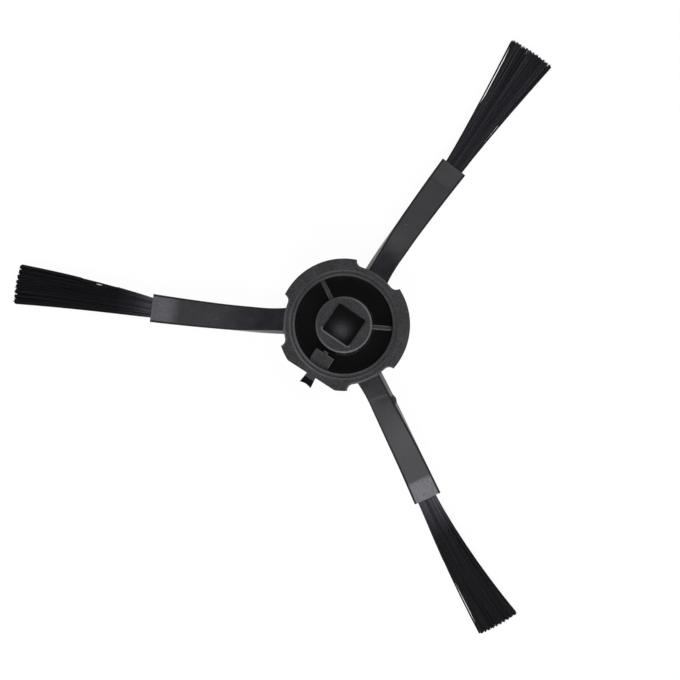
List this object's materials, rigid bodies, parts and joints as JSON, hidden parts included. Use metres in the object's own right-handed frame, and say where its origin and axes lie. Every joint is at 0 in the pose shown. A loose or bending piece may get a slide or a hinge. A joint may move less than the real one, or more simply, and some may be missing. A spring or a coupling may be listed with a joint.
{
  "type": "robot vacuum side brush",
  "caption": "Rotary side brush for a robot vacuum: a lobed cup hub with a square drive socket, rolled rubber arms and fanned nylon bristle tufts.",
  "frame": {"origin": "on the hub's axis in the boss's end face, at the mouth of the square drive socket", "axes": "+Z out of the drive socket along the axis the brush turns on, +X along the first arm"},
  "size_m": [0.1374, 0.1634, 0.0178],
  "materials": {
    "hub_plastic": "fine moulded black",
    "arm_rubber": "satin black rubber",
    "bristle_nylon": "drawn black nylon"
  },
  "bodies": {
    "root": {"hub": "hub_plastic", "arm_1": "arm_rubber", "arm_2": "arm_rubber", "arm_3": "arm_rubber", "tuft_1": "bristle_nylon", "tuft_2": "bristle_nylon", "tuft_3": "bristle_nylon"}
  },
  "joints": []
}
